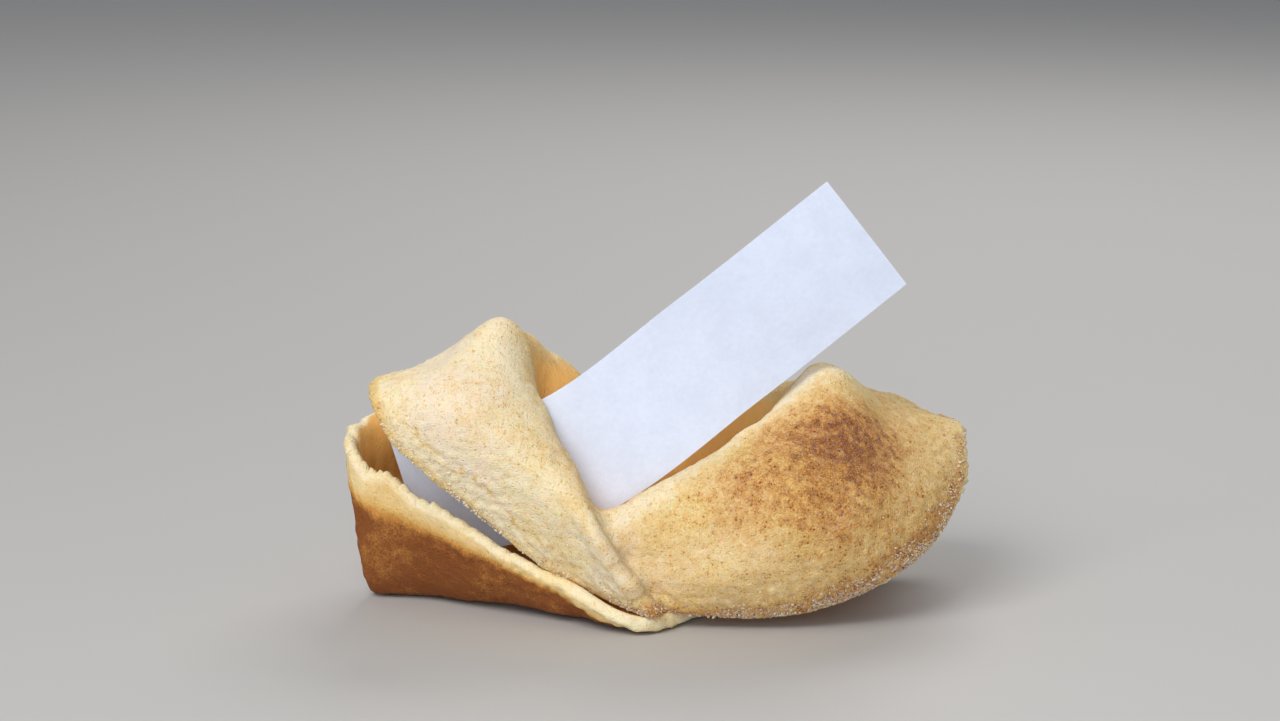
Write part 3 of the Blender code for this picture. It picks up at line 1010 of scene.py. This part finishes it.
def softbox(name, place, aim, size, energy, tint):
    """A rectangular area light at a place, turned to the aim."""
    lamp = bpy.data.lights.new(name, "AREA")
    lamp.shape = "RECTANGLE"
    lamp.size, lamp.size_y = size
    lamp.energy = energy
    lamp.color = tint
    stand(name, lamp, Vector(place), aim)


def pale_floor(tint):
    """The floor, a large plain square at height 0."""
    reach = FLOOR_REACH
    corners = [(-reach, -reach, 0), (reach, -reach, 0), (reach, reach, 0), (-reach, reach, 0)]
    material, _, shader = new_material("pale floor")
    set_sockets(shader, Base_Color=(*tint, 1.0), Roughness=0.6)
    return make_piece("floor", np.array(corners), np.array([[0, 1, 2, 3]]), material)


def studio_world():
    """Even pale light from everywhere."""
    world = bpy.data.worlds.new("studio")
    world.use_nodes = True
    background = world.node_tree.nodes["Background"]
    set_sockets(background, Color=WORLD_COLOUR, Strength=WORLD_STRENGTH)
    return world


class FORTUNE_OT_wafer(Operator):
    """Makes the folded wafer with its fine surface"""

    bl_idname = "fortune.wafer"
    bl_label = "Make wafer"

    def execute(self, context):
        settings = context.scene.fortune_wafer
        points, faces, values = wafer_surface(settings)
        points = (points + frame_offset(points)) * MM
        piece = make_piece("wafer", points, faces, wafer_material(settings), values)
        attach(piece, "root")
        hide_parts("cookie")
        return {"FINISHED"}


class FORTUNE_OT_crumbs(Operator):
    """Makes the crumbs that cling to the free edge"""

    bl_idname = "fortune.crumbs"
    bl_label = "Make crumbs"

    def execute(self, context):
        settings, wafer = context.scene.fortune_crumbs, context.scene.fortune_wafer
        offset = frame_offset(wafer_surface(wafer)[0])
        points, faces, tone = crumb_field(settings, wafer)
        material = crumb_material(settings, wafer)
        piece = make_piece("edge_crumbs", (points + offset) * MM, faces, material, {"tone": tone})
        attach(piece, "root")
        return {"FINISHED"}


class FORTUNE_OT_paper(Operator):
    """Makes the slip of paper"""

    bl_idname = "fortune.paper"
    bl_label = "Make slip"

    def execute(self, context):
        settings = context.scene.fortune_paper
        offset = frame_offset(wafer_surface(context.scene.fortune_wafer)[0])
        points, faces = paper_surface(settings)
        piece = make_piece("slip", (points + offset) * MM, faces, paper_material(settings))
        piece.data.set_sharp_from_angle(angle=SLIP_SHARP_ANGLE)
        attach(piece, "root")
        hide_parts("paper_slip")
        return {"FINISHED"}


class FORTUNE_OT_stage(Operator):
    """Makes the floor, the softboxes and the camera"""

    bl_idname = "fortune.stage"
    bl_label = "Make stage"

    def execute(self, context):
        settings = context.scene.fortune_stage
        scene = context.scene
        offset = frame_offset(wafer_surface(scene.fortune_wafer)[0])
        aim = Vector((np.array(AIM) + offset) * MM)
        tilt = settings.elevation
        place = aim + settings.distance * Vector((0.0, -math.cos(tilt), math.sin(tilt)))
        camera = bpy.data.cameras.new("camera")
        camera.lens = settings.lens
        camera.sensor_width = SENSOR_WIDTH
        camera.clip_start = 0.01
        scene.camera = stand("camera", camera, place, aim)
        floor = pale_floor(settings.floor)
        for name, (spot, size, tint) in SOFTBOXES.items():
            softbox(name, spot, aim, size, getattr(settings, f"{name}_power"), tint)
        scene.world = studio_world()
        scene.view_settings.view_transform = "Standard"
        return {"FINISHED"}


class FORTUNE_PT_panel(Panel):
    """Lists the steps in the sidebar"""

    bl_label = "Fortune Cookie"
    bl_idname = "FORTUNE_PT_panel"
    bl_space_type = "VIEW_3D"
    bl_region_type = "UI"
    bl_category = "Fortune Cookie"

    def draw(self, context):
        for label, _, step in STEPS:
            box = self.layout.box()
            settings = getattr(context.scene, label)
            for field in settings.__annotations__:
                box.prop(settings, field)
            box.operator(step.bl_idname)


STEPS = (
    ("fortune_wafer", FORTUNE_PG_wafer, FORTUNE_OT_wafer),
    ("fortune_crumbs", FORTUNE_PG_crumbs, FORTUNE_OT_crumbs),
    ("fortune_paper", FORTUNE_PG_paper, FORTUNE_OT_paper),
    ("fortune_stage", FORTUNE_PG_stage, FORTUNE_OT_stage),
)
CLASSES = (
    *(group for _, group, _ in STEPS),
    *(step for _, _, step in STEPS),
    FORTUNE_PT_panel,
)


def register():
    """Adds the classes, and each step's settings to the scene."""
    for item in CLASSES:
        bpy.utils.register_class(item)
    for label, group, _ in STEPS:
        setattr(bpy.types.Scene, label, PointerProperty(type=group))


def unregister():
    """Takes the settings and the classes away again."""
    for label, _, _ in STEPS:
        delattr(bpy.types.Scene, label)
    for item in reversed(CLASSES):
        bpy.utils.unregister_class(item)


def main():
    """Makes every piece and the stage."""
    register()
    bpy.ops.fortune.wafer()
    bpy.ops.fortune.crumbs()
    bpy.ops.fortune.paper()
    bpy.ops.fortune.stage()


if __name__ == "__main__":
    main()
